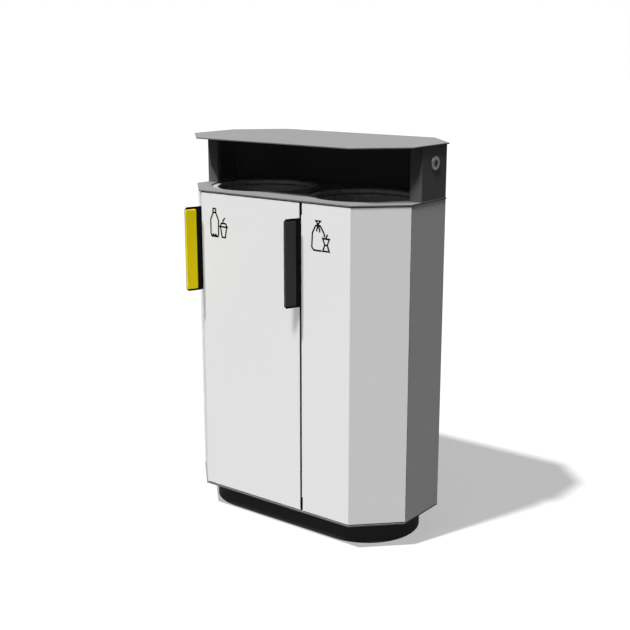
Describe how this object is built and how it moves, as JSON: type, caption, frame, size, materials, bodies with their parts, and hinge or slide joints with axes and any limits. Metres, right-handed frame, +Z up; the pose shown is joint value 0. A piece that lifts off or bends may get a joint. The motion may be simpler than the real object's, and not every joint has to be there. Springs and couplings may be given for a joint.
{
  "type": "double recycling bin",
  "caption": "Free-standing litter and recycling cabinet with cut corners, oblong plinth, hinged doors, round throw-in holes over liners and a hooded flat roof.",
  "frame": {"origin": "middle of the plinth's underside, on the ground", "axes": "+Z up; the doors and the hood's mouth face -Y; +X is to the right of someone facing the doors"},
  "size_m": [0.812, 0.4813, 1.176],
  "materials": {
    "pale_paint": "pale grey textured powder coat",
    "anthracite_paint": "anthracite fine-textured powder coat",
    "galvanised_sheet": "galvanised sheet with a faint spangle",
    "zinc_plated_steel": "bright zinc plating",
    "yellow_plastic": "smooth yellow moulded plastic",
    "black_plastic": "smooth near-black moulded plastic",
    "nylon": "plain black nylon",
    "rubber": "matt black rubber",
    "plain_steel": "machined steel",
    "brass": "machined brass"
  },
  "bodies": {
    "cabinet": {"plinth": "anthracite_paint", "plinth_top": "anthracite_paint", "plinth_bottom": "anthracite_paint", "floor_plate": "anthracite_paint", "floor_bolt_1": "zinc_plated_steel", "floor_bolt_2": "zinc_plated_steel", "floor_bolt_3": "zinc_plated_steel", "floor_bolt_4": "zinc_plated_steel", "body_shell": "pale_paint", "centre_column": "zinc_plated_steel", "divider_panel": "galvanised_sheet", "deck_plate": "anthracite_paint", "left_throat_ring": "galvanised_sheet", "right_throat_ring": "galvanised_sheet", "left_liner": "galvanised_sheet", "right_liner": "galvanised_sheet", "hood_shell": "anthracite_paint", "roof_plate": "anthracite_paint", "lock_cover": "anthracite_paint", "lock_rosette": "plain_steel", "lock_barrel": "plain_steel", "lock_nut": "zinc_plated_steel", "left_latch_guide": "nylon", "centre_latch_guide": "nylon", "right_latch_guide": "nylon", "left_pivot_stud_bottom": "plain_steel", "left_pivot_stud_top": "plain_steel", "right_pivot_stud_bottom": "plain_steel", "right_pivot_stud_top": "plain_steel", "left_door_buffer": "rubber", "right_door_buffer": "rubber"},
    "left_door": {"left_door_skin": "pale_paint", "left_door_stiffener": "galvanised_sheet", "left_door_catch": "zinc_plated_steel", "left_door_bush_bottom": "nylon", "left_door_bush_top": "nylon", "left_handle_plate": "anthracite_paint", "left_handle_insert": "yellow_plastic", "left_handle_spacer": "nylon", "left_handle_bolt_bottom": "zinc_plated_steel", "left_handle_bolt_top": "zinc_plated_steel"},
    "right_door": {"right_door_skin": "pale_paint", "right_door_stiffener": "galvanised_sheet", "right_door_catch": "zinc_plated_steel", "right_door_bush_bottom": "nylon", "right_door_bush_top": "nylon", "right_handle_plate": "anthracite_paint", "right_handle_insert": "black_plastic", "right_handle_spacer": "nylon", "right_handle_bolt_bottom": "zinc_plated_steel", "right_handle_bolt_top": "zinc_plated_steel"},
    "lock_core": {"lock_plug": "brass", "lock_cam": "zinc_plated_steel"},
    "latch_frame": {"lock_rod": "zinc_plated_steel", "latch_bar": "zinc_plated_steel"}
  },
  "joints": [
    {"name": "left_door_hinge", "type": "hinge", "parent": "cabinet", "child": "left_door", "pos_m": [0.066, -0.201, 0.548], "axis": [0, 0, 1], "range_deg": [0, 95]},
    {"name": "right_door_hinge", "type": "hinge", "parent": "cabinet", "child": "right_door", "pos_m": [0.37525, -0.10202, 0.548], "axis": [0, 0, 1], "range_deg": [0, 100]},
    {"name": "lock_turn", "type": "hinge", "parent": "cabinet", "child": "lock_core", "pos_m": [0.387, 0.0265, 1.123], "axis": [-1, 0, 0], "range_deg": [0, 90]},
    {"name": "latch_drop", "type": "slide", "parent": "cabinet", "child": "latch_frame", "axis": [0, 0, -1], "range_m": [0, 0.01697]}
  ],
  "couplings": [
    {"joint": "lock_turn", "follows": "latch_drop", "rad_per_m": 92.559}
  ]
}
